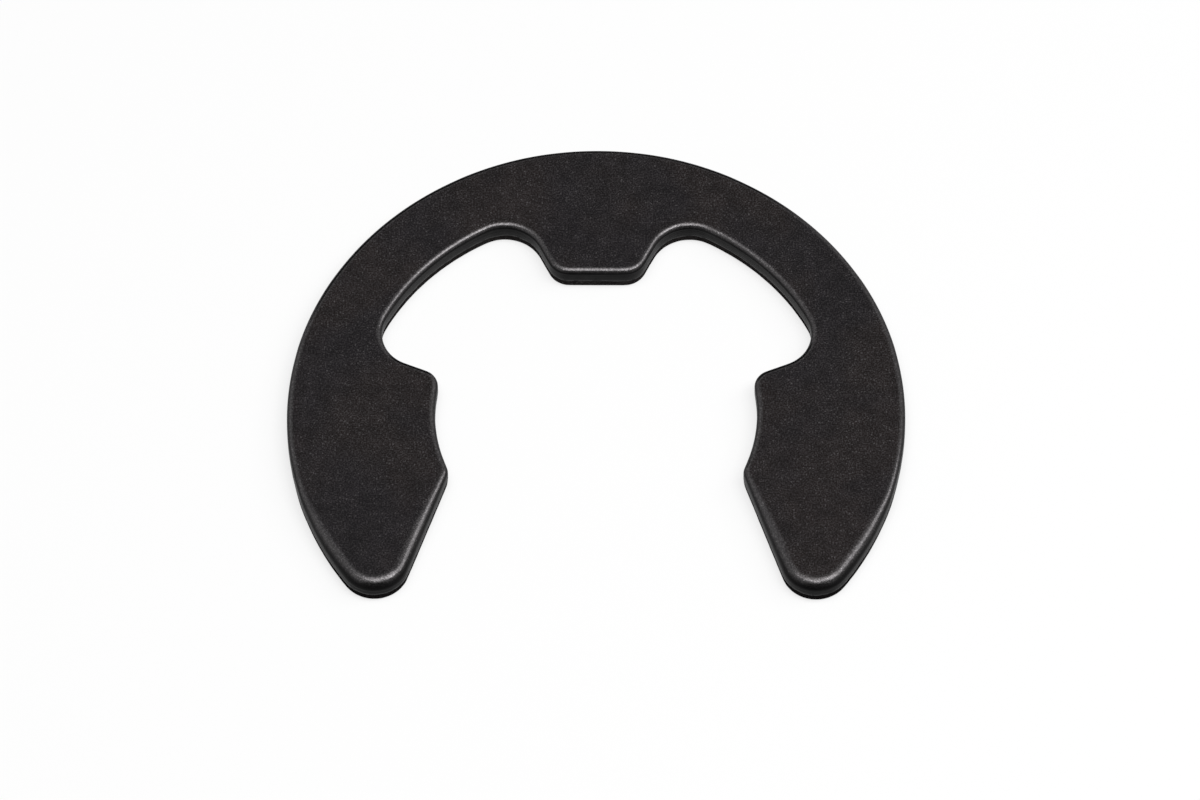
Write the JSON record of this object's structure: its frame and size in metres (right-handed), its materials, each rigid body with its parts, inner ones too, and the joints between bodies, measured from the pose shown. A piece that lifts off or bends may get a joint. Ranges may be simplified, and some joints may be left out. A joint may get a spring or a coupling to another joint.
{
  "type": "retaining ring",
  "caption": "Flat C-shaped spring steel retaining ring with inward prongs, rounded relief pockets and an open mouth, pushed sideways into a shaft groove.",
  "frame": {"origin": "on the axis of the shaft it grips, in the plane of the lower face", "axes": "+Z along the shaft axis through the thickness, towards the face with the rolled edge; +Y from the mouth towards the middle prong; +X to the right lug"},
  "size_m": [0.044, 0.0361, 0.002],
  "materials": {
    "blackened_steel": "satin black phosphate and oil on spring steel, with a fine grain and brighter rolled edges"
  },
  "bodies": {
    "root": {"retaining_ring": "blackened_steel"}
  },
  "joints": []
}
